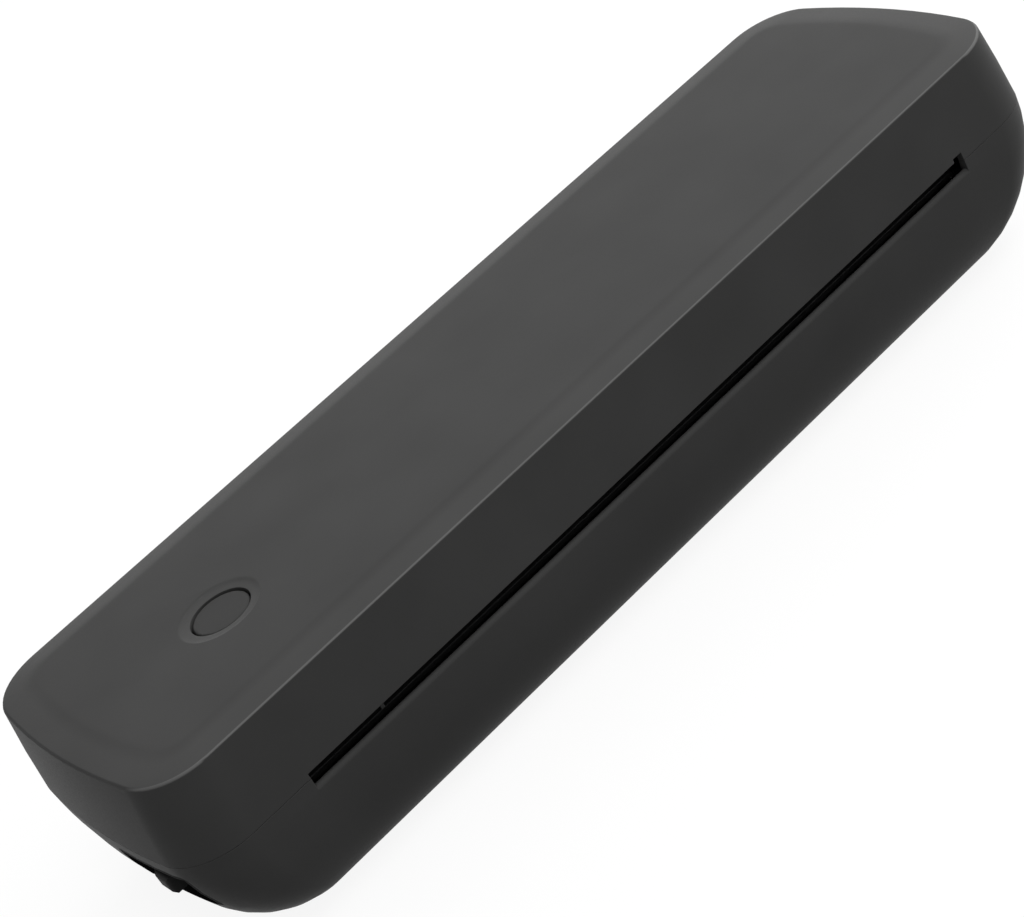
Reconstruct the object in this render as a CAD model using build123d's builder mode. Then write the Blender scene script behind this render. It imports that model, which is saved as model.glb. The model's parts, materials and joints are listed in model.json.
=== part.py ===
"""A4 portable thermal printer: hinged cover over a roll bay, print head and gear-driven platen.

Frame: origin at the centre of the footprint on the table, +X along the body, -Y the paper-slot
side, +Z up. All sizes are millimetres.
"""
from build123d import *
import math
import os

os.makedirs("parts", exist_ok=True)

# ---------------------------------------------------------------- case
wall = 2.2
seam_gap = 0.12
end_room_left = 34.5
end_room_right = 31.7
end_bow = 3.7
corner_radius = 16.5
end_flare = 2.5
flare_crown = 0.35
rim_bow = 4.2
rim_corner_radius = 15.4
rim_round = 0.6
end_tuck = 25.3
side_tuck = 18.5
corner_tuck = 8.8
tuck_power = 1.87
pillow_drop = 1.3
pillow_band = 8.5
roof_rib_count = 6
roof_rib_width = 1.2
roof_rib_depth = 1.6
foot_height = 1.0
foot_length = 14.0
foot_width = 8.0
foot_corner = 1.6
foot_from_end = 46.1
foot_from_side = 24.4

# ---------------------------------------------------------------- paper path
slot_length = 218.0
slot_height = 3.9
slot_below_parting = 0.55
slot_rib_from_end = 22.0
slot_rib_width = 0.9
slot_rib_drop = 2.2
slot_rib_setback = 1.9
slot_notch_length = 3.0
slot_notch_height = 1.0
paper_margin = 1.0
paper_gap = 0.2

# ---------------------------------------------------------------- button
button_from_end = 49.9
button_y = -2.9
button_radius = 7.3
button_gap = 0.5
button_sink = 0.9
button_depth = 4.0
button_edge = 0.4
button_flange_overlap = 0.7
button_flange_depth = 1.2
button_travel = 0.6
button_stem_radius = 1.8
button_stem_length = 2.4
button_sleeve_wall = 1.5
dish_radius = 10.8
dish_bevel = 0.6
dish_bevel_depth = 0.35
dish_slope_depth = 0.3
switch_width = 6.2
switch_height = 1.8
switch_stem_width = 3.0
switch_stem_height = 0.4
button_board_width = 12.0
button_board_end = 4.0
board_boss_reach = 12.5
working_gap = 0.1

# ---------------------------------------------------------------- hinge
hinge_inset = 1.8
hinge_above_parting = 0.2
hinge_pin_radius = 0.8
hinge_knuckle_radius = 1.8
hinge_lug_width = 2.4
hinge_knuckle_width = 4.4
hinge_side_gap = 0.3
hinge_from_slot = 3.0
hinge_root = 5.4
hinge_relief_gap = 0.2
hinge_relief_end = 10.0
running_clearance = 0.05

# ---------------------------------------------------------------- platen and its carrier
platen_radius = 7.0
platen_setback = 12.0
platen_shaft_radius = 2.5
platen_side_gap = 0.8
bush_radius = 4.5
bush_reach = 0.4
cheek_thickness = 1.9
cheek_gap = 0.3
cheek_drop = 5.4
carrier_gap = 0.4
carrier_thickness = 1.9
carrier_side_gap = 3.2
carrier_corner = 4.0
roof_gap = 2.9
carrier_boss_pitch = 70.0
carrier_boss_inset = 8.0
carrier_boss_width = 5.0
guide_rib_count = 8
guide_rib_width = 1.4
guide_rib_drop = 3.0
guide_rib_slope = 6.0
guide_rib_spread = 0.8
tear_bar_thickness = 0.6
tear_bar_height = 8.0
tear_tooth_pitch = 4.0
tear_tooth_height = 1.0
tear_tooth_clearance = 0.2

# ---------------------------------------------------------------- chassis
plate_thickness = 1.2
plate_above_platen = 3.0
plate_foot_length = 8.0
plate_foot_width = 7.0
plate_back_inset = 5.0
plate_back_slope = 6.0
boss_height = 1.8
bush_slot_clearance = 0.3
bush_slot_lead = 1.0
deck_front = 5.0
plate_foot_y = 14.0

# ---------------------------------------------------------------- print head
head_front_gap = 3.2
head_depth = 26.0
head_plate_thickness = 2.6
head_fin_height = 3.4
head_fin_count = 5
head_fin_width = 1.2
head_fin_pitch = 3.2
head_fin_inset = 3.5
head_nose = 2.5
head_pivot_setback = 2.5
head_pivot_drop = 3.0
head_pivot_radius = 1.2
ceramic_front = 5.0
ceramic_back = 6.0
ceramic_thickness = 1.0
ceramic_end = 1.0
heater_line_height = 0.65
heater_line_width = 2.4
heater_line_end = 3.0
head_gap = 0.35
head_board_thickness = 0.8
head_board_gap = 0.3
head_board_end = 6.0
spring_count = 3
spring_pitch = 70.0
spring_width = 8.0
spring_reach = 5.0
spring_rise = 3.4
spring_crest = 1.6
spring_thickness = 0.4
spring_foot = 0.6
spring_gap = 0.1

# ---------------------------------------------------------------- paper bay
bay_radius = 17.0
bay_wall = 1.5
bay_floor_gap = 0.6
bay_front_gap = 1.3
bay_back_gap = 4.2
bay_front_drop = 1.8
bay_back_drop = 3.3
bay_deck_reach = 11.0
bay_lip = 3.0

# ---------------------------------------------------------------- gear train
pressure_angle = math.radians(20)
coarse_module = 0.6
fine_module = 0.5
platen_teeth = 30
idler_teeth = 24
compound_small_teeth = 15
compound_big_teeth = 44
pinion_teeth = 12
tooth_tip = 0.95
tooth_root = 1.25
gear_backlash = 0.14
gear_from_plate = 4.0
gear_width = 4.0
big_gear_gap = 0.8
big_gear_width = 3.0
pinion_width = 4.4
idler_offset = 6.0
gear_pin_radius = 1.0
gear_pin_end = 0.6

# ---------------------------------------------------------------- motor, battery, boards
motor_radius = 9.0
motor_length = 22.0
motor_shaft_radius = 1.0
cell_radius = 9.2
cell_length = 65.5
cell_setback = 16.0
cell_floor_gap = 0.6
cell_deck_gap = 0.1
cell_from_plate = 5.6
cell_gap = 1.0
cell_tab_half = 3.0
saddle_count = 4
saddle_width = 2.0
saddle_clearance = 0.25
saddle_drop = 3.0
board_gap = 9.1
board_thickness = 1.6
board_from_bay_end = 7.6
board_length = 162.0
board_above_floor = 2.3
board_below_parting = 6.8
standoff_width = 5.0
standoff_inset = 6.0
standoff_drop = 4.0

# ---------------------------------------------------------------- end recess, port and latch
recess_depth = 7.6
recess_from_front = 10.8
recess_length = 28.6
recess_height = 12.5
recess_below_parting = 3.3
recess_corner = 2.0
recess_wall = 1.6
panel_thickness = 1.5
panel_rim = 0.9
port_from_back = 5.9
port_drop = 6.5
port_width = 8.94
port_height = 3.26
port_length = 7.3
port_wall = 0.3
port_clearance = 0.15
port_sink = 0.2
port_tongue_inset = 1.3
port_tongue_height = 0.7
port_board_thickness = 1.0
port_board_length = 13.0
port_board_width = 13.0
port_board_gap = 0.3
port_shelf_width = 10.0
latch_pivot_offset = 3.0
latch_pivot_height = 9.3
latch_pin_radius = 1.5
latch_pin_end = 1.0
latch_thickness = 2.0
latch_side_gap = 0.8
latch_eye_radius = 3.5
latch_arm_width = 4.4
latch_nose_reach = 0.6
latch_nose_gap = 0.3
latch_nose_height = 3.0
latch_nose_slope = 1.0
latch_bar_width = 3.0
latch_bar_offset = 4.3
latch_bar_rise = 7.1
latch_bar_clearance = 1.0
latch_angle = 8.0
knob_offset = 8.7
knob_drop = 5.2
knob_width = 6.5
knob_height = 4.6
knob_inset = 0.7
knob_edge = 0.8
knob_floor_gap = 0.4
knob_grip = 3.0
knob_stem_width = 4.0
knob_stem_height = 2.6
knob_slot_gap = 0.4

# ---------------------------------------------------------------- derived lengths (X)
body_length = slot_length + end_room_left + end_room_right
left_end = -body_length / 2
paper_centre = (end_room_left - end_room_right) / 2
slot_left = paper_centre - slot_length / 2
slot_right = paper_centre + slot_length / 2
platen_half = slot_length / 2 - paper_margin
cheek_inner = platen_half + platen_side_gap
bush_inner = cheek_inner - bush_reach
plate_inner = cheek_inner + cheek_thickness + cheek_gap
plate_outer = plate_inner + plate_thickness
latch_inner = plate_outer + latch_side_gap
latch_outer = latch_inner + latch_thickness
gear_inner = plate_outer + gear_from_plate
gear_outer = gear_inner + gear_width
big_gear_inner = gear_outer + big_gear_gap
big_gear_outer = big_gear_inner + big_gear_width
button_x = left_end + button_from_end
recess_floor_x = left_end + recess_depth

# ---------------------------------------------------------------- derived depths (Y)
body_width = (
    2 * wall + head_front_gap + head_depth + board_gap + board_thickness
    + bay_front_gap + 2 * (bay_radius + bay_wall) + bay_back_gap
)
side_y = body_width / 2
inner_y = side_y - wall
head_front_y = -inner_y + head_front_gap
head_back_y = head_front_y + head_depth
platen_y = head_front_y + platen_setback
cell_y = head_front_y + cell_setback
board_y = head_back_y + board_gap
bay_outer = bay_radius + bay_wall
bay_y = inner_y - bay_back_gap - bay_outer
hinge_axis_y = side_y - hinge_inset
head_pivot_y = head_back_y - head_pivot_setback
latch_pivot_y = platen_y - latch_pivot_offset
latch_bar_y = latch_pivot_y - latch_bar_offset
knob_y = latch_pivot_y + knob_offset
recess_front_y = -side_y + recess_from_front
recess_back_y = recess_front_y + recess_length
port_y = recess_back_y - port_from_back

# ---------------------------------------------------------------- derived levels (Z)
floor_level = foot_height + wall
cell_z = floor_level + cell_floor_gap + cell_radius
deck_level = cell_z + cell_radius + cell_deck_gap
spring_base = deck_level + plate_thickness
fin_bottom = spring_base + spring_rise + spring_gap
head_plate_bottom = fin_bottom + head_fin_height
head_top = head_plate_bottom + head_plate_thickness
platen_z = head_top + ceramic_thickness + heater_line_height + head_gap + platen_radius
parting_height = platen_z - platen_radius - paper_gap
cover_base = parting_height + seam_gap / 2
base_top = parting_height - seam_gap / 2
slot_level = parting_height - slot_below_parting
slot_bottom = slot_level - slot_height / 2
slot_top = slot_level + slot_height / 2
carrier_level = platen_z + platen_radius + carrier_gap
carrier_top = carrier_level + carrier_thickness
ceiling = carrier_top + roof_gap
rim_level = ceiling + wall
body_height = rim_level + pillow_drop
hinge_axis_z = parting_height + hinge_above_parting
head_pivot_z = head_top - head_pivot_drop
boss_top = floor_level + boss_height
plate_top = platen_z + plate_above_platen
bay_z = floor_level + bay_floor_gap + bay_outer
bay_front_top = parting_height - bay_front_drop
bay_back_top = parting_height - bay_back_drop
latch_pivot_z = floor_level + latch_pivot_height
latch_bar_z = latch_pivot_z + latch_bar_rise
recess_top = parting_height - recess_below_parting
recess_bottom = recess_top - recess_height
knob_z = recess_top - knob_drop
port_z = recess_top - port_drop
port_board_top = port_z - port_height / 2
port_board_bottom = port_board_top - port_board_thickness
knob_travel = (knob_z - latch_pivot_z) * math.sin(math.radians(latch_angle))
knob_slot_front = knob_y - knob_stem_width / 2 - knob_travel - knob_slot_gap
knob_slot_back = knob_y + knob_stem_width / 2 + knob_slot_gap
knob_rise = knob_offset * math.sin(math.radians(latch_angle))
knob_slot_bottom = knob_z - knob_stem_height / 2 - knob_slot_gap
knob_slot_top = knob_z + knob_stem_height / 2 + knob_rise + knob_slot_gap


# ================================================================ shared outlines
def plan_face(z, half_length, half_width, corner, bow):
    """Plan outline of the body at height z: straight sides, bowed ends, rounded corners."""
    end = half_length - bow
    with BuildSketch(Plane.XY.offset(z)) as plan:
        with BuildLine():
            Line((-end, -half_width), (end, -half_width))
            ThreePointArc((end, -half_width), (half_length, 0), (end, half_width))
            Line((end, half_width), (-end, half_width))
            ThreePointArc((-end, half_width), (-half_length, 0), (-end, -half_width))
        make_face()
        fillet(plan.vertices(), corner)
    return plan.sketch


def tuck_share(z):
    """How far the lower shell has rounded in at height z: 0 at the parting line, near 1 below."""
    depth = max(0.0, 1 - z / parting_height)
    return 1 - (1 - depth**tuck_power) ** (1 / tuck_power)


def tuck_levels(bottom, count):
    """Heights from the bottom up to the parting line that turn the rounding in even steps."""
    lowest = math.asin((1 - bottom / parting_height) ** (tuck_power / 2))
    steps = [lowest * (1 - step / count) for step in range(count + 1)]
    levels = [parting_height * (1 - math.sin(step) ** (2 / tuck_power)) for step in steps]
    return levels[:-1] + [base_top]


def lower_plan(z):
    """Lower shell's outline at height z."""
    share = tuck_share(z)
    return plan_face(
        z,
        body_length / 2 - end_tuck * share,
        side_y - side_tuck * share,
        corner_radius - corner_tuck * share,
        end_bow,
    )


def cavity_plan(z):
    """Inside of the lower shell: the outline a wall lower, a wall in, its corners of one radius."""
    share = tuck_share(z - wall)
    return plan_face(
        z,
        body_length / 2 - end_tuck * share - wall,
        side_y - side_tuck * share - wall,
        corner_radius - wall,
        end_bow,
    )


def upper_plan(z, inset=0.0):
    """Cover's outline: its ends lean in a little from the parting line to the rim."""
    rise = (z - parting_height) / (rim_level - parting_height)
    lean = (1 - flare_crown) * rise + flare_crown * rise**2
    return plan_face(
        z,
        body_length / 2 - end_flare * lean - inset,
        side_y - inset,
        corner_radius + (rim_corner_radius - corner_radius) * lean - inset,
        end_bow + (rim_bow - end_bow) * lean,
    )


def yz_face(x, points):
    """Polygon in the plane across the body at x; its points are (y, z)."""
    with BuildSketch(Plane.YZ.offset(x)) as profile:
        with BuildLine():
            Polyline(*points, close=True)
        make_face()
    return profile.sketch


def yz_disc(x, y, z, radius):
    """Circle across the body at x."""
    with BuildSketch(Plane.YZ.offset(x)) as profile:
        with Locations((y, z)):
            Circle(radius)
    return profile.sketch


def sided(side, near, far):
    """X limits between two distances from the paper's centre, on its left (-1) or right (1)."""
    ends = (paper_centre + side * near, paper_centre + side * far)
    return min(ends), max(ends)


def around(middle, half):
    """Limits that lie evenly about a middle."""
    return middle - half, middle + half


def span(x, y, z, mode=Mode.ADD):
    """Block between (low, high) limits along each axis."""
    with Locations((sum(x) / 2, sum(y) / 2, sum(z) / 2)):
        Box(x[1] - x[0], y[1] - y[0], z[1] - z[0], mode=mode)


def slab(x, points, mode=Mode.ADD):
    """Plate between two X limits, with an outline of (y, z) points."""
    extrude(yz_face(x[0], points), amount=x[1] - x[0], mode=mode)


def rod(x, y, z, radius, mode=Mode.ADD):
    """Round bar between two X limits."""
    extrude(yz_disc(x[0], y, z, radius), amount=x[1] - x[0], mode=mode)


def write(builder, name):
    """Label a finished piece and write it out."""
    builder.part.label = name
    export_step(builder.part, f"parts/{name}.step")


def hinge_eye(side_limits, reach):
    """Hinge eye with its root inside the back wall: reach -1 points down, 1 points up."""
    root = hinge_axis_z + reach * hinge_root
    slab(side_limits, [
        (hinge_axis_y - hinge_knuckle_radius, hinge_axis_z),
        (hinge_axis_y + hinge_knuckle_radius, hinge_axis_z),
        (hinge_axis_y + hinge_knuckle_radius, hinge_axis_z + reach * hinge_knuckle_radius),
        (inner_y, root),
        (inner_y - wall, root),
    ])
    rod(side_limits, hinge_axis_y, hinge_axis_z, hinge_knuckle_radius)


# ================================================================ base shell
outer_steps = 9
cavity_steps = 4
recess_y = (recess_front_y, recess_back_y)
recess_z = (recess_bottom, recess_top)
hinge_near = slot_length / 2 + hinge_from_slot
hinge_lug_near = hinge_near + hinge_knuckle_width + hinge_side_gap
hinge_far = hinge_lug_near + hinge_lug_width
relief_bottom = hinge_axis_z - hinge_inset - hinge_relief_gap
relief_x = around(0, body_length / 2 - hinge_relief_end)
outside_y = side_y + wall
slot_x = (slot_left, slot_right)
lip_level = slot_bottom - wall / 2
lip_front = side_tuck * tuck_share(lip_level) - side_y

with BuildPart() as base_outer:
    loft([lower_plan(z) for z in tuck_levels(foot_height, outer_steps)], ruled=True)

with BuildPart() as recess_pocket:
    span(
        (left_end, recess_floor_x + panel_thickness + recess_wall),
        (recess_front_y - recess_wall, recess_back_y + recess_wall),
        (recess_bottom - recess_wall, recess_top + recess_wall),
    )
    add(base_outer.part, mode=Mode.INTERSECT)

with BuildPart() as base_shell:
    add(base_outer.part)
    loft([cavity_plan(z) for z in tuck_levels(floor_level, cavity_steps)], ruled=True, mode=Mode.SUBTRACT)
    add(recess_pocket.part)
    # shelf under the port's board, saddles under the cells, bosses under the chassis
    span(
        (recess_floor_x + panel_thickness, recess_floor_x + panel_thickness + port_board_length),
        around(port_y, port_shelf_width / 2),
        (port_board_bottom - recess_wall, port_board_bottom),
    )
    cell_start = paper_centre - plate_inner + cell_from_plate
    cells_length = 2 * cell_length + cell_gap
    for number in range(saddle_count):
        saddle_x = cell_start + cells_length * (number + 0.5) / saddle_count
        span(
            around(saddle_x, saddle_width / 2),
            around(cell_y, cell_radius - wall / 2),
            (floor_level - wall / 2, cell_z - saddle_drop),
        )
    rod(
        (cell_start, cell_start + cells_length),
        cell_y,
        cell_z,
        cell_radius + saddle_clearance,
        Mode.SUBTRACT,
    )
    for side in (-1, 1):
        for depth in (-1, 1):
            span(
                sided(side, plate_inner, plate_outer + plate_foot_width),
                around(depth * plate_foot_y, plate_foot_length / 2),
                (floor_level - wall / 2, boss_top),
            )
    # pocket for the ports and the release knob in the left end, and the two ways through it
    with BuildSketch(Plane.YZ.offset(recess_floor_x + panel_thickness)):
        with Locations((sum(recess_y) / 2, sum(recess_z) / 2)):
            RectangleRounded(recess_length, recess_height, recess_corner)
    extrude(amount=-recess_depth - panel_thickness, mode=Mode.SUBTRACT)
    pocket_back = (recess_floor_x, recess_floor_x + 2 * recess_wall + panel_thickness)
    span(
        pocket_back,
        (knob_slot_front - knob_slot_gap, knob_slot_back + knob_slot_gap),
        (knob_slot_bottom - knob_slot_gap, knob_slot_top + knob_slot_gap),
        Mode.SUBTRACT,
    )
    span(
        pocket_back,
        around(port_y, port_width / 2 + recess_wall / 2),
        (port_board_top, port_z + port_height),
        Mode.SUBTRACT,
    )
    # paper slot over the full round edge of the front wall, and the hinge relief along the back
    span(slot_x, (-outside_y, -inner_y + wall), (lip_level, parting_height), Mode.SUBTRACT)
    rod(slot_x, lip_front + wall / 2, lip_level, wall / 2)
    span(relief_x, (inner_y - wall, outside_y), (relief_bottom, parting_height), Mode.SUBTRACT)
    for side in (-1, 1):
        hinge_eye(sided(side, hinge_lug_near, hinge_far), -1)
        rod(
            sided(side, hinge_near, hinge_far),
            hinge_axis_y,
            hinge_axis_z,
            hinge_pin_radius,
            Mode.SUBTRACT,
        )
write(base_shell, "base_shell")

# ================================================================ cover shell
cover_steps = 2
rim_round_steps = 2
pillow_steps = [(0.45, 0.5), (0.92, 0.97), (1.0, 1.0)]
button_top = body_height - button_sink
button_hole_radius = button_radius + button_gap
sleeve_bottom = button_top - button_depth
flange_top = sleeve_bottom - hinge_side_gap
flange_bottom = flange_top - button_flange_depth
stem_bottom = flange_bottom - button_stem_length
switch_top = stem_bottom - button_travel - working_gap
button_board_top = switch_top - switch_height
dish_edge = body_height - dish_bevel_depth
button_plane = Plane((button_x, button_y, 0), x_dir=(1, 0, 0), z_dir=(0, -1, 0))
button_axis = Axis((button_x, button_y, 0), (0, 0, 1))


def rim_plan(z, inset):
    """Outline of the soft crown on top, drawn in from the rim."""
    return plan_face(
        z,
        body_length / 2 - end_flare - inset,
        side_y - inset,
        rim_corner_radius - inset,
        rim_bow,
    )


def roof_post(x, y, bottom):
    """Square post that hangs from the roof."""
    span(
        around(x, carrier_boss_width / 2),
        around(y, carrier_boss_width / 2),
        (bottom, ceiling + wall / 2),
    )


edge_turns = [math.pi / 2 * step / rim_round_steps for step in range(rim_round_steps + 1)]
side_sections = [
    upper_plan(cover_base + (rim_level - rim_round - cover_base) * step / cover_steps)
    for step in range(cover_steps + 1)
]
crown_sections = [
    rim_plan(rim_level - rim_round * (1 - math.sin(turn)), rim_round * (1 - math.cos(turn)))
    for turn in edge_turns
] + [
    rim_plan(rim_level + pillow_drop * rise, rim_round + pillow_band * run)
    for run, rise in pillow_steps
]

with BuildPart() as cover_shell:
    loft(side_sections, ruled=True)
    loft(crown_sections, ruled=True)
    loft(
        [upper_plan(parting_height - wall, wall), upper_plan(ceiling, wall)],
        ruled=True,
        mode=Mode.SUBTRACT,
    )
    # stiffening ribs across the roof, posts for the platen carrier and the button's board
    for number in range(roof_rib_count):
        rib_x = (number - (roof_rib_count - 1) / 2) * body_length / (roof_rib_count + 1)
        span(
            around(rib_x, roof_rib_width / 2),
            around(0, inner_y),
            (ceiling - roof_rib_depth, ceiling + wall / 2),
        )
    for number in (-1, 0, 1):
        for depth in (-1, 1):
            roof_post(number * carrier_boss_pitch, depth * (inner_y - carrier_boss_inset), carrier_top)
    for reach in (-board_boss_reach, board_boss_reach):
        roof_post(button_x + reach, button_y, button_board_top)
    # guide sleeve of the button, its hole and the dished ring about it
    with Locations(Location((button_x, button_y, (sleeve_bottom + rim_level) / 2))):
        Cylinder(button_hole_radius + button_sleeve_wall, rim_level - sleeve_bottom)
        Cylinder(button_hole_radius, 2 * button_depth + wall, mode=Mode.SUBTRACT)
    with BuildSketch(button_plane):
        with BuildLine():
            Polyline(
                (0, dish_edge - dish_slope_depth),
                (button_hole_radius, dish_edge - dish_slope_depth),
                (dish_radius - dish_bevel, dish_edge),
                (dish_radius, body_height),
                (0, body_height),
                close=True,
            )
        make_face()
    revolve(axis=button_axis, mode=Mode.SUBTRACT)
    # paper slot with its small rib and notch, and the paper inlet at the back
    below_cover = cover_base - wall
    span(slot_x, (-outside_y, -inner_y + wall), (below_cover, slot_top), Mode.SUBTRACT)
    span(
        (slot_right - slot_notch_length, slot_right),
        (-outside_y, -inner_y + wall),
        (below_cover, slot_top + slot_notch_height),
        Mode.SUBTRACT,
    )
    span(
        (slot_left + slot_rib_from_end, slot_left + slot_rib_from_end + slot_rib_width),
        (-side_y + slot_rib_setback, -inner_y),
        (slot_top - slot_rib_drop, slot_top + wall / 2),
    )
    span(slot_x, (inner_y - wall, outside_y), (below_cover, slot_top), Mode.SUBTRACT)
    for side in (-1, 1):
        span(
            sided(side, hinge_lug_near - hinge_side_gap, hinge_far + hinge_side_gap),
            (inner_y - wall, outside_y),
            (below_cover, hinge_axis_z + hinge_knuckle_radius + hinge_side_gap),
            Mode.SUBTRACT,
        )
        hinge_eye(sided(side, hinge_near, hinge_near + hinge_knuckle_width), 1)
        rod(
            sided(side, hinge_near, hinge_far),
            hinge_axis_y,
            hinge_axis_z,
            hinge_pin_radius + running_clearance,
            Mode.SUBTRACT,
        )
write(cover_shell, "cover_shell")

with BuildPart() as hinge_pins:
    for side in (-1, 1):
        rod(sided(side, hinge_near, hinge_far), hinge_axis_y, hinge_axis_z, hinge_pin_radius)
write(hinge_pins, "hinge_pins")

# ================================================================ button
with BuildPart() as power_button:
    with BuildSketch(button_plane):
        with BuildLine():
            Polyline(
                (0, stem_bottom),
                (button_stem_radius, stem_bottom),
                (button_stem_radius, flange_bottom),
                (button_hole_radius + button_flange_overlap, flange_bottom),
                (button_radius, flange_top),
                (button_radius, button_top - button_edge),
                (button_radius - button_edge, button_top),
                (0, button_top),
                close=True,
            )
        make_face()
    revolve(axis=button_axis)
write(power_button, "power_button")

with BuildPart() as button_board:
    span(
        around(button_x, board_boss_reach + button_board_end),
        around(button_y, button_board_width / 2),
        (button_board_top - port_board_thickness, button_board_top),
    )
write(button_board, "button_board")

with BuildPart() as button_switch:
    span(
        around(button_x, switch_width / 2),
        around(button_y, switch_width / 2),
        (button_board_top, switch_top - switch_stem_height),
    )
    span(
        around(button_x, switch_stem_width / 2),
        around(button_y, switch_stem_width / 2),
        (switch_top - switch_stem_height, switch_top),
    )
write(button_switch, "button_switch")

# ================================================================ platen and carrier
with BuildPart() as platen_carrier:
    with BuildSketch(Plane.XY.offset(carrier_level)):
        with Locations((paper_centre, 0)):
            RectangleRounded(
                2 * (cheek_inner + cheek_thickness),
                2 * (inner_y - carrier_side_gap),
                carrier_corner,
            )
        with Locations((button_x, button_y)):
            Rectangle(
                2 * (board_boss_reach + carrier_boss_width),
                2 * (button_hole_radius + 2 * button_flange_overlap),
                mode=Mode.SUBTRACT,
            )
    extrude(amount=carrier_thickness)
    for side in (-1, 1):
        slab(sided(side, cheek_inner, cheek_inner + cheek_thickness), [
            (platen_y - platen_radius - cheek_thickness, carrier_level),
            (platen_y - platen_radius, platen_z - bush_radius / 2),
            (platen_y - bush_radius, platen_z - cheek_drop),
            (platen_y + bush_radius, platen_z - cheek_drop),
            (platen_y + platen_radius, platen_z - bush_radius / 2),
            (platen_y + 2 * platen_radius + cheek_thickness, carrier_level),
        ])
    # paper guide ribs between the platen and the back
    guide_front = platen_y + platen_radius + guide_rib_drop
    guide_back = inner_y - carrier_side_gap - carrier_boss_width
    for number in range(guide_rib_count):
        guide_x = paper_centre + (2 * number / (guide_rib_count - 1) - 1) * guide_rib_spread * platen_half
        if abs(guide_x - button_x) > board_boss_reach + carrier_boss_width:
            slab(around(guide_x, guide_rib_width / 2), [
                (guide_front, carrier_level),
                (guide_front + guide_rib_slope, carrier_level - guide_rib_drop),
                (guide_back - guide_rib_slope, carrier_level - guide_rib_drop),
                (guide_back, carrier_level),
            ])
    rod(around(paper_centre, plate_inner), platen_y, platen_z, bush_radius, Mode.SUBTRACT)
write(platen_carrier, "platen_carrier")

with BuildPart() as platen_bushes:
    for side in (-1, 1):
        with BuildSketch(Plane.YZ.offset(sided(side, bush_inner, plate_outer)[0])):
            with Locations((platen_y, platen_z)):
                Circle(bush_radius)
                Circle(platen_shaft_radius + running_clearance, mode=Mode.SUBTRACT)
        extrude(amount=plate_outer - bush_inner)
write(platen_bushes, "platen_bushes")

shaft_left = paper_centre - latch_outer - latch_pin_end
with BuildPart() as platen_shaft:
    rod((shaft_left, paper_centre + gear_outer), platen_y, platen_z, platen_shaft_radius)
write(platen_shaft, "platen_shaft")

with BuildPart() as platen_roller:
    with BuildSketch(Plane.YZ.offset(paper_centre - platen_half)):
        with Locations((platen_y, platen_z)):
            Circle(platen_radius)
            Circle(platen_shaft_radius, mode=Mode.SUBTRACT)
    extrude(amount=2 * platen_half)
write(platen_roller, "platen_roller")

tooth_count = int((slot_length - tear_tooth_pitch) // tear_tooth_pitch)
tooth_start = paper_centre - tooth_count * tear_tooth_pitch / 2
tear_valley = slot_top + tear_tooth_height + tear_tooth_clearance
tear_points = [(tooth_start, tear_valley + tear_bar_height)]
for tooth in range(tooth_count):
    tear_points.append((tooth_start + tooth * tear_tooth_pitch, tear_valley))
    tear_points.append((tooth_start + (tooth + 0.5) * tear_tooth_pitch, tear_valley - tear_tooth_height))
tear_points.append((tooth_start + tooth_count * tear_tooth_pitch, tear_valley))
tear_points.append((tooth_start + tooth_count * tear_tooth_pitch, tear_valley + tear_bar_height))

with BuildPart() as tear_bar:
    with BuildSketch(Plane.XZ.offset(inner_y)):
        with BuildLine():
            Polyline(*tear_points, close=True)
        make_face()
    extrude(amount=-tear_bar_thickness)
write(tear_bar, "tear_bar")


# ================================================================ gears
def tooth_half_angle(radius, teeth, module):
    """Half the angle that an involute tooth takes up at a radius, less the backlash."""
    pitch_radius = teeth * module / 2
    base_radius = pitch_radius * math.cos(pressure_angle)
    roll = math.acos(base_radius / radius) if radius > base_radius else 0.0
    involute = math.tan(roll) - roll
    at_pitch = math.pi / (2 * teeth) - gear_backlash / (2 * pitch_radius)
    return at_pitch + math.tan(pressure_angle) - pressure_angle - involute


def gear_face(x, centre, teeth, module, phase, bore):
    """Gear outline across the body at x, one tooth centred on the phase angle (radians).

    Each flank is the chord of its involute from root to tip, which lies just inside the curve.
    """
    pitch_radius = teeth * module / 2
    radii = (pitch_radius - tooth_root * module, pitch_radius + tooth_tip * module)
    points = []
    for tooth in range(teeth):
        middle = phase + 2 * math.pi * tooth / teeth
        for side, order in ((-1, radii), (1, radii[::-1])):
            for radius in order:
                angle = middle + side * tooth_half_angle(radius, teeth, module)
                points.append((
                    centre[0] + radius * math.cos(angle),
                    centre[1] + radius * math.sin(angle),
                ))
    with BuildSketch(Plane.YZ.offset(x)) as outline:
        with BuildLine():
            Polyline(*points, close=True)
        make_face()
        with Locations(centre):
            Circle(bore, mode=Mode.SUBTRACT)
    return outline.sketch


def mesh_phase(driver, driver_teeth, driver_phase, follower, follower_teeth):
    """Phase that sets the follower's gap on the driver's tooth along the line of centres."""
    line = math.atan2(follower[1] - driver[1], follower[0] - driver[0])
    driver_pitch = 2 * math.pi / driver_teeth
    follower_pitch = 2 * math.pi / follower_teeth
    offset = (line - driver_phase) / driver_pitch
    return line + math.pi - follower_pitch * (0.5 - offset)


def meet(first, first_reach, second, second_reach):
    """Point behind two centres, at the given distances from them."""
    gap = math.dist(first, second)
    along = (first_reach**2 - second_reach**2 + gap**2) / (2 * gap)
    rise = math.sqrt(first_reach**2 - along**2)
    unit = ((second[0] - first[0]) / gap, (second[1] - first[1]) / gap)
    return (
        first[0] + along * unit[0] + rise * unit[1],
        first[1] + along * unit[1] - rise * unit[0],
    )


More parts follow.
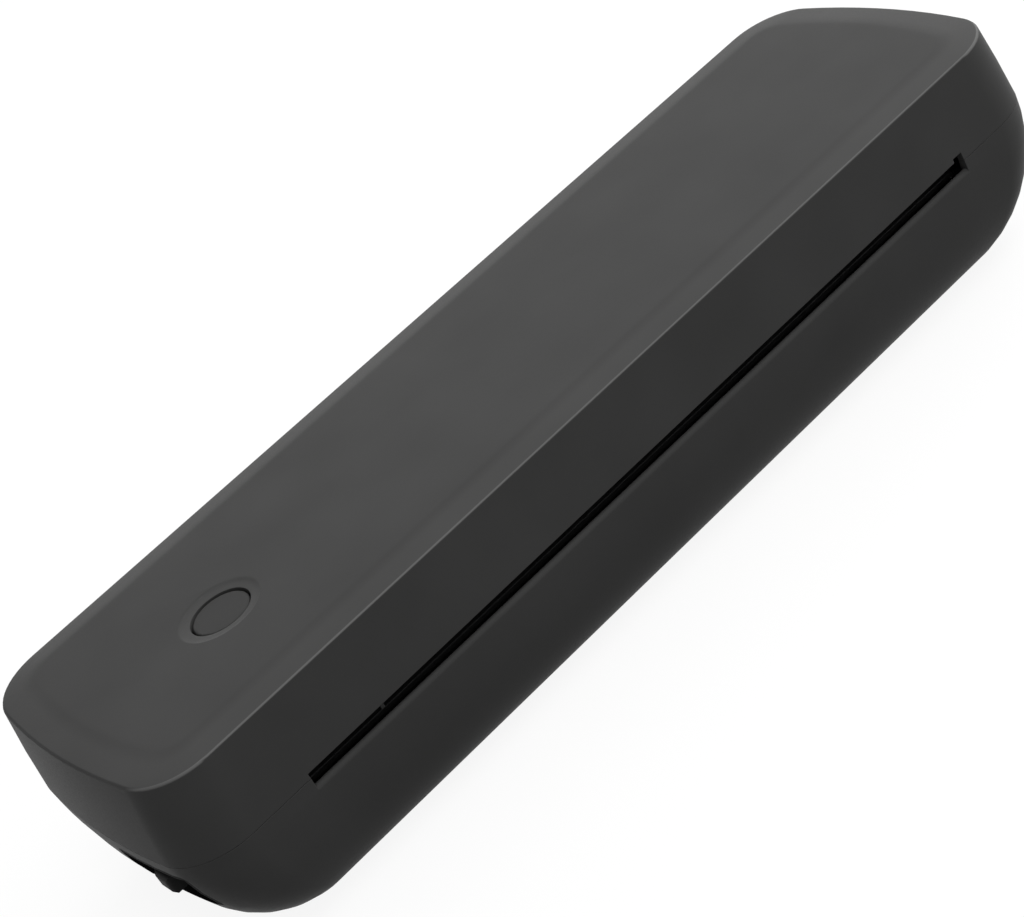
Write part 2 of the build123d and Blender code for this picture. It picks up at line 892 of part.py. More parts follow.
platen_centre = (platen_y, platen_z)
motor_centre = (cell_y, cell_z)
idler_reach = coarse_module * (platen_teeth + idler_teeth) / 2
idler_centre = (platen_y + idler_offset, platen_z - math.sqrt(idler_reach**2 - idler_offset**2))
compound_centre = meet(
    motor_centre,
    fine_module * (compound_big_teeth + pinion_teeth) / 2,
    idler_centre,
    coarse_module * (idler_teeth + compound_small_teeth) / 2,
)
platen_phase = 0.0
idler_phase = mesh_phase(platen_centre, platen_teeth, platen_phase, idler_centre, idler_teeth)
compound_phase = mesh_phase(
    idler_centre, idler_teeth, idler_phase, compound_centre, compound_small_teeth
)
pinion_phase = mesh_phase(
    compound_centre, compound_big_teeth, compound_phase, motor_centre, pinion_teeth
)
gear_start = paper_centre + gear_inner
big_gear_start = paper_centre + big_gear_inner
free_bore = gear_pin_radius + running_clearance

with BuildPart() as platen_gear:
    extrude(
        gear_face(gear_start, platen_centre, platen_teeth, coarse_module, platen_phase, platen_shaft_radius),
        amount=gear_width,
    )
write(platen_gear, "platen_gear")

with BuildPart() as idler_gear:
    extrude(
        gear_face(gear_start, idler_centre, idler_teeth, coarse_module, idler_phase, free_bore),
        amount=gear_width,
    )
write(idler_gear, "idler_gear")

with BuildPart() as compound_gear:
    extrude(
        gear_face(
            gear_start, compound_centre, compound_small_teeth, coarse_module, compound_phase, free_bore
        ),
        amount=gear_width + big_gear_gap,
    )
    extrude(
        gear_face(
            big_gear_start, compound_centre, compound_big_teeth, fine_module, compound_phase, free_bore
        ),
        amount=big_gear_width,
    )
write(compound_gear, "compound_gear")

pinion_x = around(big_gear_start + big_gear_width / 2, pinion_width / 2)
motor_face = paper_centre + plate_inner
with BuildPart() as motor_pinion:
    extrude(
        gear_face(pinion_x[0], motor_centre, pinion_teeth, fine_module, pinion_phase, motor_shaft_radius),
        amount=pinion_width,
    )
    rod((motor_face + working_gap, pinion_x[1]), *motor_centre, motor_shaft_radius)
write(motor_pinion, "motor_pinion")

with BuildPart() as gear_pins:
    pin_start = paper_centre + plate_outer
    rod((pin_start, paper_centre + gear_outer + gear_pin_end), *idler_centre, gear_pin_radius)
    rod((pin_start, paper_centre + big_gear_outer + gear_pin_end), *compound_centre, gear_pin_radius)
write(gear_pins, "gear_pins")

with BuildPart() as motor:
    rod((motor_face - motor_length, motor_face), *motor_centre, motor_radius)
write(motor, "motor")

# ================================================================ chassis
plate_back_y = bay_y + bay_outer - plate_back_inset
mouth = bush_radius + bush_slot_clearance
plate_behind_bar = latch_bar_y + latch_bar_width / 2 + latch_bar_clearance
plate_points = [
    (platen_y, boss_top),
    (plate_back_y - plate_back_slope, boss_top),
    (plate_back_y, boss_top + plate_foot_length),
    (plate_back_y, bay_z),
    (bay_y - bay_outer + plate_back_inset, head_pivot_z + plate_thickness),
    (head_pivot_y - plate_thickness, head_top),
    (platen_y + mouth + plate_above_platen, plate_top),
    (platen_y - mouth - plate_above_platen, plate_top),
    (platen_y - mouth - plate_above_platen, platen_z - mouth),
    (plate_behind_bar, latch_bar_z + latch_bar_width),
    (plate_behind_bar, latch_pivot_z + latch_eye_radius),
    (latch_pivot_y - latch_eye_radius, latch_pivot_z + latch_eye_radius),
    (latch_pivot_y - latch_eye_radius, latch_pivot_z - latch_eye_radius),
]
with BuildPart() as chassis:
    for side in (-1, 1):
        side_plate = sided(side, plate_inner, plate_outer)
        slab(side_plate, plate_points)
        # open slot that takes the platen bush when the cover shuts
        slab(side_plate, [
            (platen_y - mouth, platen_z),
            (platen_y + mouth, platen_z),
            (platen_y + mouth, plate_top - bush_slot_lead),
            (platen_y + mouth + bush_slot_lead, plate_top),
            (platen_y - mouth - bush_slot_lead, plate_top),
            (platen_y - mouth, plate_top - bush_slot_lead),
        ], Mode.SUBTRACT)
        rod(side_plate, platen_y, platen_z, mouth, Mode.SUBTRACT)
        rod(side_plate, head_pivot_y, head_pivot_z, head_pivot_radius + running_clearance, Mode.SUBTRACT)
        # feet turned out at the bottom
        for depth in (-1, 1):
            span(
                sided(side, plate_outer, plate_outer + plate_foot_width),
                around(depth * plate_foot_y, plate_foot_length / 2),
                (boss_top, boss_top + plate_thickness),
            )
    rod(sided(1, plate_inner, plate_outer), *motor_centre, 2 * motor_shaft_radius, Mode.SUBTRACT)
    # deck between the plates, under the print head
    span(
        around(paper_centre, plate_outer),
        (platen_y - deck_front, head_back_y - head_pivot_setback),
        (deck_level, spring_base),
    )
write(chassis, "chassis")

with BuildPart() as latch_pins:
    for side in (-1, 1):
        rod(
            sided(side, plate_outer, latch_outer + latch_pin_end),
            latch_pivot_y,
            latch_pivot_z,
            latch_pin_radius,
        )
write(latch_pins, "latch_pins")

# ================================================================ print head
head_x = around(paper_centre, platen_half)
with BuildPart() as print_head:
    slab(head_x, [
        (head_front_y, head_plate_bottom),
        (head_back_y, head_plate_bottom),
        (head_back_y, head_top),
        (head_front_y + head_nose, head_top),
        (head_front_y, head_top - head_plate_thickness / 2),
    ])
    for number in range(head_fin_count):
        span(
            head_x,
            around(head_front_y + head_fin_inset + number * head_fin_pitch, head_fin_width / 2),
            (fin_bottom, head_plate_bottom),
        )
    rod(around(paper_centre, plate_outer), head_pivot_y, head_pivot_z, head_pivot_radius)
write(print_head, "print_head")

ridge_level = head_top + ceramic_thickness
with BuildPart() as head_ceramic:
    span(
        around(paper_centre, platen_half - ceramic_end),
        (platen_y - ceramic_front, platen_y + ceramic_back),
        (head_top, ridge_level),
    )
    with BuildSketch(Plane.YZ.offset(paper_centre - platen_half + heater_line_end)):
        with BuildLine():
            ThreePointArc(
                (platen_y - heater_line_width / 2, ridge_level),
                (platen_y, ridge_level + heater_line_height),
                (platen_y + heater_line_width / 2, ridge_level),
            )
            Line(
                (platen_y + heater_line_width / 2, ridge_level),
                (platen_y - heater_line_width / 2, ridge_level),
            )
        make_face()
    extrude(amount=2 * (platen_half - heater_line_end))
write(head_ceramic, "head_ceramic")

with BuildPart() as head_board:
    span(
        around(paper_centre, platen_half - head_board_end),
        (platen_y + ceramic_back + head_board_gap, head_back_y - head_board_gap),
        (head_top, head_top + head_board_thickness),
    )
write(head_board, "head_board")

with BuildPart() as head_springs:
    for number in range(spring_count):
        spring_x = paper_centre + (number - (spring_count - 1) / 2) * spring_pitch
        slab(around(spring_x, spring_width / 2), [
            (platen_y - spring_reach, spring_base),
            (platen_y - spring_crest, spring_base + spring_rise),
            (platen_y + spring_crest, spring_base + spring_rise),
            (platen_y + spring_reach, spring_base),
            (platen_y + spring_reach - spring_foot, spring_base),
            (platen_y + spring_crest, spring_base + spring_rise - spring_thickness),
            (platen_y - spring_crest, spring_base + spring_rise - spring_thickness),
            (platen_y - spring_reach + spring_foot, spring_base),
        ])
write(head_springs, "head_springs")

# ================================================================ paper bay
bay_deck_front = bay_y - bay_radius - bay_deck_reach
with BuildPart() as paper_tray:
    with BuildSketch(Plane.YZ.offset(slot_left)):
        with BuildLine():
            Line((bay_y - bay_radius, bay_front_top), (bay_y - bay_radius, bay_z))
            ThreePointArc(
                (bay_y - bay_radius, bay_z), (bay_y, bay_z - bay_radius), (bay_y + bay_radius, bay_z)
            )
            Polyline(
                (bay_y + bay_radius, bay_z),
                (bay_y + bay_radius, bay_back_top),
                (bay_y + bay_outer + bay_lip, bay_back_top),
                (bay_y + bay_outer + bay_lip, bay_back_top - bay_wall),
                (bay_y + bay_outer, bay_back_top - bay_wall),
                (bay_y + bay_outer, bay_z),
            )
            ThreePointArc((bay_y + bay_outer, bay_z), (bay_y, bay_z - bay_outer), (bay_y - bay_outer, bay_z))
            Polyline(
                (bay_y - bay_outer, bay_z),
                (bay_y - bay_outer, bay_front_top - bay_wall),
                (bay_deck_front, bay_front_top - bay_wall),
                (bay_deck_front, bay_front_top),
                (bay_y - bay_radius, bay_front_top),
            )
        make_face()
    extrude(amount=slot_length)
    for side in (-1, 1):
        end_wall = sided(side, slot_length / 2, slot_length / 2 + bay_wall)
        with BuildSketch(Plane.YZ.offset(end_wall[0])):
            with BuildLine():
                Polyline(
                    (bay_y + bay_outer, bay_z),
                    (bay_y + bay_outer, bay_back_top),
                    (bay_y - bay_outer, bay_front_top),
                    (bay_y - bay_outer, bay_z),
                )
                ThreePointArc(
                    (bay_y - bay_outer, bay_z), (bay_y, bay_z - bay_outer), (bay_y + bay_outer, bay_z)
                )
            make_face()
        extrude(amount=bay_wall)
    # standoffs that carry the main board on the front of the tray
    board_start = slot_left + board_from_bay_end
    board_end = board_start + board_length
    board_top = parting_height - board_below_parting
    for standoff_x in (board_start + standoff_inset, board_end - standoff_inset):
        span(
            around(standoff_x, standoff_width / 2),
            (board_y + board_thickness, bay_y - bay_outer + bay_wall / 2),
            around(board_top - standoff_drop, standoff_width / 2),
        )
write(paper_tray, "paper_tray")

# ================================================================ battery and boards
with BuildPart() as battery_pack:
    for first in (cell_start, cell_start + cell_length + cell_gap):
        rod((first, first + cell_length), cell_y, cell_z, cell_radius)
    span(
        (cell_start + cell_length, cell_start + cell_length + cell_gap),
        around(cell_y, cell_tab_half),
        around(cell_z, cell_tab_half),
    )
write(battery_pack, "battery_pack")

board_bottom = floor_level + board_above_floor
with BuildPart() as main_board:
    span(
        (board_start, board_end),
        (board_y, board_y + board_thickness),
        (board_bottom, board_top),
    )
write(main_board, "main_board")

# each component: its place as a share of the board's length and height, then its length,
# height and depth
board_parts = [
    (0.10, 0.51, 9.0, 9.0, 1.2),
    (0.25, 0.47, 12.0, 7.0, 1.6),
    (0.39, 0.60, 5.0, 5.0, 3.0),
    (0.46, 0.38, 8.0, 6.0, 1.0),
    (0.67, 0.51, 14.0, 5.0, 4.6),
    (0.83, 0.51, 10.0, 6.0, 1.6),
    (0.94, 0.64, 6.0, 5.0, 4.0),
]
with BuildPart() as board_components:
    for along, above, length, height, depth in board_parts:
        span(
            around(board_start + along * board_length, length / 2),
            (board_y - depth, board_y),
            around(board_bottom + above * (board_top - board_bottom), height / 2),
        )
write(board_components, "board_components")

# ================================================================ port panel and release latch
with BuildPart() as port_panel:
    # lining of the recess: floor and rim, trimmed to the curve of the case
    with BuildSketch(Plane.YZ.offset(recess_floor_x + panel_thickness)):
        with Locations((sum(recess_y) / 2, sum(recess_z) / 2)):
            RectangleRounded(recess_length, recess_height, recess_corner)
    extrude(amount=-recess_depth - panel_thickness)
    with BuildSketch(Plane.YZ.offset(recess_floor_x)):
        with Locations((sum(recess_y) / 2, sum(recess_z) / 2)):
            Rectangle(recess_length - 2 * panel_rim, recess_height - 2 * panel_rim)
    extrude(amount=-recess_depth, mode=Mode.SUBTRACT)
    with BuildSketch(Plane.YZ.offset(recess_floor_x)):
        with Locations((port_y, port_z)):
            SlotOverall(port_width + 2 * port_clearance, port_height + 2 * port_clearance)
        with Locations(((knob_slot_front + knob_slot_back) / 2, (knob_slot_bottom + knob_slot_top) / 2)):
            Rectangle(knob_slot_back - knob_slot_front, knob_slot_top - knob_slot_bottom)
    extrude(amount=panel_thickness, mode=Mode.SUBTRACT)
    add(base_outer.part, mode=Mode.INTERSECT)
write(port_panel, "port_panel")

port_mouth = recess_floor_x + port_sink
port_end = port_mouth + port_length
with BuildPart() as usb_port:
    with BuildSketch(Plane.YZ.offset(port_mouth)):
        with Locations((port_y, port_z)):
            SlotOverall(port_width, port_height)
    extrude(amount=port_length)
    with BuildSketch(Plane.YZ.offset(port_mouth)):
        with Locations((port_y, port_z)):
            SlotOverall(port_width - 2 * port_wall, port_height - 2 * port_wall)
    extrude(amount=port_length - port_board_thickness, mode=Mode.SUBTRACT)
    span(
        (port_mouth + port_wall, port_end),
        around(port_y, port_width / 2 - port_tongue_inset),
        around(port_z, port_tongue_height / 2),
    )
write(usb_port, "usb_port")

port_board_start = recess_floor_x + panel_thickness + recess_wall + port_board_gap
with BuildPart() as port_board:
    span(
        (port_board_start, port_board_start + port_board_length),
        around(port_y, port_board_width / 2),
        (port_board_bottom, port_board_top),
    )
write(port_board, "port_board")

nose_bottom = platen_z + platen_shaft_radius + latch_nose_gap
nose_top = nose_bottom + latch_nose_height
arm_front_y = latch_pivot_y - latch_arm_width
stem_y = around(knob_y, knob_stem_width / 2)
stem_z = around(knob_z, knob_stem_height / 2)
left_arm = sided(-1, latch_inner, latch_outer)
stem_start = left_end + knob_inset + knob_grip
with BuildPart() as latch_bar:
    for side in (-1, 1):
        arm = sided(side, latch_inner, latch_outer)
        slab(arm, [
            (latch_pivot_y - latch_eye_radius, latch_pivot_z),
            (latch_pivot_y + latch_eye_radius, latch_pivot_z),
            (latch_pivot_y, latch_pivot_z + 2 * latch_eye_radius),
            (latch_pivot_y, nose_bottom),
            (platen_y + latch_nose_reach, nose_bottom),
            (platen_y + latch_nose_reach, nose_bottom + latch_nose_reach),
            (latch_pivot_y, nose_top),
            (arm_front_y, nose_top - latch_nose_slope),
        ])
        rod(arm, latch_pivot_y, latch_pivot_z, latch_eye_radius)
        rod(arm, latch_pivot_y, latch_pivot_z, latch_pin_radius + running_clearance, Mode.SUBTRACT)
    # bar that joins the two arms
    span(
        around(paper_centre, latch_outer),
        around(latch_bar_y, latch_bar_width / 2),
        around(latch_bar_z, latch_bar_width / 2),
    )
    # tab on the left arm, with the stem that reaches out through the port panel
    span(left_arm, (latch_pivot_y - latch_thickness, stem_y[1]), stem_z)
    span((stem_start, left_arm[0]), stem_y, stem_z)
write(latch_bar, "latch_bar")

knob_start = left_end + knob_inset
with BuildPart() as release_knob:
    span(
        (knob_start, recess_floor_x - knob_floor_gap),
        around(knob_y, knob_width / 2),
        around(knob_z, knob_height / 2),
    )
    chamfer(release_knob.faces().sort_by(Axis.X)[0].edges(), knob_edge)
    span((stem_start, recess_floor_x), stem_y, stem_z, Mode.SUBTRACT)
write(release_knob, "release_knob")

# ================================================================ feet
with BuildPart() as rubber_feet:
    with BuildSketch(Plane.XY) as rubber_feet_plan:
        with GridLocations(body_length - 2 * foot_from_end, body_width - 2 * foot_from_side, 2, 2):
            Rectangle(foot_length, foot_width)
        chamfer(rubber_feet_plan.vertices(), foot_corner)
    extrude(amount=foot_height)
write(rubber_feet, "rubber_feet")
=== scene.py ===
"""Looks of the portable A4 thermal printer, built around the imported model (metres)."""
import bmesh
import bpy
import json
import math
from mathutils import Matrix, Vector


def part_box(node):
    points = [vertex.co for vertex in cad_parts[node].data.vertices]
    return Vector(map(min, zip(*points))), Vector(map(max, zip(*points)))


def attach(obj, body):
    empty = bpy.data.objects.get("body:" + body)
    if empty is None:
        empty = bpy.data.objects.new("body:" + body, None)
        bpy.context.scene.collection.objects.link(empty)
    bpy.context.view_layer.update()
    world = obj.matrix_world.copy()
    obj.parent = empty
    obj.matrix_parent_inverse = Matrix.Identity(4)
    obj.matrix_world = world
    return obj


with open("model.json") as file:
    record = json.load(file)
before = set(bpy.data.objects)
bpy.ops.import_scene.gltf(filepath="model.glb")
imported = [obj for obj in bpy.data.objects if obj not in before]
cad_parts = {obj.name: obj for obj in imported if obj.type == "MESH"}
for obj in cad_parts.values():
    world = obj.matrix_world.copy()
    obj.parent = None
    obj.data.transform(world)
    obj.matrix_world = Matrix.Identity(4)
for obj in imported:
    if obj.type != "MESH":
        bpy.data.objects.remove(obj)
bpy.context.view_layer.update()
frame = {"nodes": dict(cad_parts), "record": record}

# ---------------------------------------------------------------- photograph's view
IMAGE_WIDTH = 1024
IMAGE_HEIGHT = 917
VIEW_AZIMUTH = math.radians(-23.8)
VIEW_ELEVATION = math.radians(29.5)
VIEW_ROLL = math.radians(-30.8)
VIEW_DISTANCE = 0.6324
VIEW_TARGET = Vector((0.0, 0.0, 0.020))
FOCAL_PIXELS = 2622.6
CENTRE_PIXEL = (572.8, 467.9)
SENSOR_WIDTH = 36.0


def make_camera():
    """Camera at the photograph's angle, found from the slot, the rim and the outline."""
    back = Vector((
        math.sin(VIEW_AZIMUTH) * math.cos(VIEW_ELEVATION),
        -math.cos(VIEW_AZIMUTH) * math.cos(VIEW_ELEVATION),
        math.sin(VIEW_ELEVATION),
    ))
    level_right = Vector((math.cos(VIEW_AZIMUTH), math.sin(VIEW_AZIMUTH), 0.0))
    level_up = back.cross(level_right)
    right = math.cos(VIEW_ROLL) * level_right + math.sin(VIEW_ROLL) * level_up
    up = math.cos(VIEW_ROLL) * level_up - math.sin(VIEW_ROLL) * level_right
    data = bpy.data.cameras.new("camera")
    data.sensor_width = SENSOR_WIDTH
    data.lens = SENSOR_WIDTH * FOCAL_PIXELS / IMAGE_WIDTH
    data.shift_x = (IMAGE_WIDTH / 2 - CENTRE_PIXEL[0]) / IMAGE_WIDTH
    data.shift_y = (CENTRE_PIXEL[1] - IMAGE_HEIGHT / 2) / IMAGE_WIDTH
    data.clip_start = 0.01
    data.clip_end = 50.0
    camera = bpy.data.objects.new("camera", data)
    bpy.context.scene.collection.objects.link(camera)
    turn = Matrix((right, up, back)).transposed()
    camera.matrix_world = Matrix.Translation(VIEW_TARGET + back * VIEW_DISTANCE) @ turn.to_4x4()
    bpy.context.scene.camera = camera


make_camera()

# ---------------------------------------------------------------- node helpers
# pairs are the two values between which a mask fades
BEVEL_SAMPLES = 6
EDGE_LEAN_START = 2 / 3
# how much lighter edges are painted, as a highlight
EDGE_HIGHLIGHT = 0.5
CROWN_SOFTNESS = 0.0025
CROWN_LEVELS = (0.0570, 0.0573)
DISH_CLEARANCE = (0.0125, 0.0145)
BUTTON_PLACE = (-0.0922, -0.0029, 0.0)
UPPER_LEVELS = (0.0550, 0.0556)
# masks for the painted highlight along the front rim and the painted lighter band on the top's soft
# border
RIM_TILTS_UP = (0.3, 0.6)
RIM_TURNS_FLAT = (0.9, 0.98)
RIM_FACES_FRONT = (-0.3, -0.1)
BORDER_HIGHLIGHT = 0.14
BORDER_TURNS_FLAT = (0.90, 0.96)
BORDER_LEVELS = (0.0572, 0.0577)


class Shader:
    """A node material built step by step."""

    def __init__(self, name):
        self.material = bpy.data.materials.new(name)
        self.material.use_nodes = True
        self.tree = self.material.node_tree
        self.principled = self.tree.nodes["Principled BSDF"]

    def node(self, kind, **settings):
        made = self.tree.nodes.new(kind)
        for key, value in settings.items():
            setattr(made, key, value)
        return made

    def link(self, output, socket):
        self.tree.links.new(output, socket)

    def object_place(self):
        """The shaded point in the object's own axes."""
        return self.node("ShaderNodeTexCoord").outputs["Object"]

    def surface_normal(self):
        return self.node("ShaderNodeNewGeometry").outputs["Normal"]

    def components(self, vector):
        """A vector's outputs by the names X, Y and Z."""
        apart = self.node("ShaderNodeSeparateXYZ")
        self.link(vector, apart.inputs[0])
        return apart.outputs

    def noise(self, scale, detail, roughness=0.5, stretch=None):
        """Noise in the object's own place, drawn out along an axis where stretch says so."""
        texture = self.node("ShaderNodeTexNoise")
        texture.inputs["Scale"].default_value = scale
        texture.inputs["Detail"].default_value = detail
        texture.inputs["Roughness"].default_value = roughness
        source = self.object_place()
        if stretch:
            mapping = self.node("ShaderNodeMapping")
            mapping.inputs["Scale"].default_value = stretch
            self.link(source, mapping.inputs["Vector"])
            source = mapping.outputs["Vector"]
        self.link(source, texture.inputs["Vector"])
        return texture.outputs["Fac"]

    def spread(self, factor, low, high, start=0.3, end=0.7):
        """Maps start..end of a value to low..high."""
        remap = self.node("ShaderNodeMapRange")
        remap.inputs["From Min"].default_value = start
        remap.inputs["From Max"].default_value = end
        remap.inputs["To Min"].default_value = low
        remap.inputs["To Max"].default_value = high
        self.link(factor, remap.inputs["Value"])
        return remap.outputs["Result"]

    def blend(self, factor, first, second):
        """Mix of two colours; either may be another node's output."""
        mix = self.node("ShaderNodeMix", data_type="RGBA")
        self.link(factor, mix.inputs[0])
        for socket, colour in ((mix.inputs[6], first), (mix.inputs[7], second)):
            if isinstance(colour, tuple):
                socket.default_value = (*colour, 1.0)
            else:
                self.link(colour, socket)
        return mix.outputs[2]

    def rounded(self, radius):
        """Normal of the surface with its sharp edges rounded off."""
        bevel = self.node("ShaderNodeBevel", samples=BEVEL_SAMPLES)
        bevel.inputs["Radius"].default_value = radius
        return bevel.outputs["Normal"]

    def chained(self, operation, values):
        """One maths operation carried through all the values."""
        total = values[0]
        for value in values[1:]:
            made = self.node("ShaderNodeMath", operation=operation)
            self.link(total, made.inputs[0])
            self.link(value, made.inputs[1])
            total = made.outputs[0]
        return total

    def product(self, *values):
        return self.chained("MULTIPLY", values)

    def highest(self, *values):
        return self.chained("MAXIMUM", values)

    def crown_softened(self, normal):
        """The rounded normal, with a wide rounding on the top's soft border, clear of the dish."""
        wide = self.rounded(CROWN_SOFTNESS)
        place = self.object_place()
        height = self.spread(self.components(place)["Z"], 0.0, 1.0, *CROWN_LEVELS)
        flat = self.node("ShaderNodeVectorMath", operation="MULTIPLY")
        flat.inputs[1].default_value = (1.0, 1.0, 0.0)
        self.link(place, flat.inputs[0])
        away = self.node("ShaderNodeVectorMath", operation="DISTANCE")
        away.inputs[1].default_value = BUTTON_PLACE
        self.link(flat.outputs["Vector"], away.inputs[0])
        clear = self.spread(away.outputs["Value"], 0.0, 1.0, *DISH_CLEARANCE)
        mix = self.node("ShaderNodeMix", data_type="VECTOR")
        self.link(self.product(height, clear), mix.inputs[0])
        self.link(normal, mix.inputs[4])
        self.link(wide, mix.inputs[5])
        return mix.outputs[1]

    def painted_top_highlights(self, edges):
        """The edge mask, with a painted highlight along the front rim and a painted lighter band on
        the top's soft border added.
        """
        facing = self.components(self.surface_normal())
        level = self.components(self.object_place())["Z"]
        upper = self.spread(level, 0.0, 1.0, *UPPER_LEVELS)
        # painted highlight where the front rim rounds over
        rim = self.product(
            self.spread(facing["Z"], 0.0, 1.0, *RIM_TILTS_UP),
            self.spread(facing["Z"], 1.0, 0.0, *RIM_TURNS_FLAT),
            self.spread(facing["Y"], 1.0, 0.0, *RIM_FACES_FRONT),
            upper,
        )
        # painted lighter band on the slope of the top's soft border
        border = self.product(
            self.spread(facing["Z"], 0.0, BORDER_HIGHLIGHT, *BORDER_TURNS_FLAT),
            self.spread(level, 1.0, 0.0, *BORDER_LEVELS),
            upper,
        )
        return self.highest(self.spread(edges, 0.0, EDGE_HIGHLIGHT, 0.0, 1.0), rim, border)

    def edge_mask(self, normal):
        """0 on a flat, up to 1 on an edge, from how far the rounded normal leans away; it sets
        where edges are painted lighter as a highlight.
        """
        lean = self.node("ShaderNodeVectorMath", operation="DOT_PRODUCT")
        self.link(normal, lean.inputs[0])
        self.link(self.surface_normal(), lean.inputs[1])
        return self.spread(lean.outputs["Value"], 1.0, 0.0, EDGE_LEAN_START, 1.0)

    def bump(self, height, strength, distance, normal=None):
        """Normal raised by a height, on top of another normal where one is given."""
        made = self.node("ShaderNodeBump")
        made.inputs["Strength"].default_value = strength
        made.inputs["Distance"].default_value = distance
        self.link(height, made.inputs["Height"])
        if normal is not None:
            self.link(normal, made.inputs["Normal"])
        return made.outputs["Normal"]


def shade(colour, factor):
    """A colour made darker or lighter."""
    return tuple(min(1.0, channel * factor) for channel in colour)


# ---------------------------------------------------------------- materials
MOTTLE_SCALE = 35.0
MOTTLE_DEPTH = 0.06
FINE_GRAIN_SCALE = 2600.0
FINE_GRAIN_HEIGHT = 0.00004
COARSE_GRAIN_SCALE = 900.0
COARSE_GRAIN_HEIGHT = 0.00006
GLOSS_VARIATION = 0.06
METAL_EDGE = 0.0001
# how much lighter metal edges are painted, as a highlight
METAL_EDGE_HIGHLIGHT = 1.15
METAL_SHADE = 0.82
DRAWN_SCALE = 120.0
DRAWN_STRETCH = (1.0, 30.0, 30.0)
DRAWN_HEIGHT = 0.00004
TRACK_SCALE = 420.0
TRACK_RANDOMNESS = 0.6
TRACK_HEIGHT = 0.00003
MASK_GREEN = (0.004, 0.055, 0.022)
TRACK_GREEN = (0.012, 0.11, 0.045)


def moulded_plastic(
    name, colour, roughness=0.5, specular=0.3, grain=1.0, edge=0.00025, edge_highlight=1.25, crown=False
):
    """Moulded plastic: spark-eroded grain, slow mottling, uneven gloss, edges painted lighter as a
    highlight.
    """
    shader = Shader(name)
    sockets = shader.principled.inputs
    slow = shader.spread(shader.noise(MOTTLE_SCALE, 2.0), 0.0, 1.0)
    darker, lighter = shade(colour, 1 - MOTTLE_DEPTH), shade(colour, 1 + MOTTLE_DEPTH)
    mottled = shader.blend(slow, darker, lighter)
    rounded = shader.rounded(edge)
    edges = shader.edge_mask(rounded)
    if crown:
        edges = shader.painted_top_highlights(edges)
    # edges painted lighter as a highlight
    shader.link(shader.blend(edges, mottled, shade(colour, edge_highlight)), sockets["Base Color"])
    fine = shader.noise(FINE_GRAIN_SCALE, 2.0, 0.6)
    gloss = shader.spread(fine, roughness - GLOSS_VARIATION, roughness + GLOSS_VARIATION)
    shader.link(gloss, sockets["Roughness"])
    coarse = shader.noise(COARSE_GRAIN_SCALE, 2.0)
    base_normal = shader.crown_softened(rounded) if crown else rounded
    normal = shader.bump(coarse, 0.25 * grain, COARSE_GRAIN_HEIGHT, base_normal)
    normal = shader.bump(fine, 0.35 * grain, FINE_GRAIN_HEIGHT, normal)
    shader.link(normal, sockets["Normal"])
    sockets["Specular IOR Level"].default_value = specular
    return shader.material


def metal(name, colour, roughness=0.35):
    """Sheet or turned metal with a drawn grain and a painted highlight on its edges."""
    shader = Shader(name)
    sockets = shader.principled.inputs
    streak = shader.noise(DRAWN_SCALE, 4.0, 0.6, stretch=DRAWN_STRETCH)
    rounded = shader.rounded(METAL_EDGE)
    drawn = shader.blend(shader.spread(streak, 0.0, 1.0), shade(colour, METAL_SHADE), colour)
    edges = shader.edge_mask(rounded)
    # edges painted lighter as a highlight
    shader.link(shader.blend(edges, drawn, shade(colour, METAL_EDGE_HIGHLIGHT)), sockets["Base Color"])
    shader.link(shader.spread(streak, roughness - 0.08, roughness + 0.1), sockets["Roughness"])
    shader.link(shader.bump(streak, 0.15, DRAWN_HEIGHT, rounded), sockets["Normal"])
    sockets["Metallic"].default_value = 1.0
    return shader.material


def circuit_board(name):
    """Solder mask over copper: the tracks stand a little proud and lighter."""
    shader = Shader(name)
    sockets = shader.principled.inputs
    tracks = shader.node("ShaderNodeTexVoronoi", distance="MANHATTAN", feature="F1")
    tracks.inputs["Scale"].default_value = TRACK_SCALE
    tracks.inputs["Randomness"].default_value = TRACK_RANDOMNESS
    shader.link(shader.object_place(), tracks.inputs["Vector"])
    copper = shader.spread(tracks.outputs["Distance"], 1.0, 0.0, 0.35, 0.45)
    shader.link(shader.blend(copper, MASK_GREEN, TRACK_GREEN), sockets["Base Color"])
    shader.link(shader.bump(copper, 0.3, TRACK_HEIGHT), sockets["Normal"])
    sockets["Roughness"].default_value = 0.3
    return shader.material


BODY_COLOUR = (0.052, 0.052, 0.0516)
PANEL_BLACK = (0.0035, 0.0035, 0.0035)

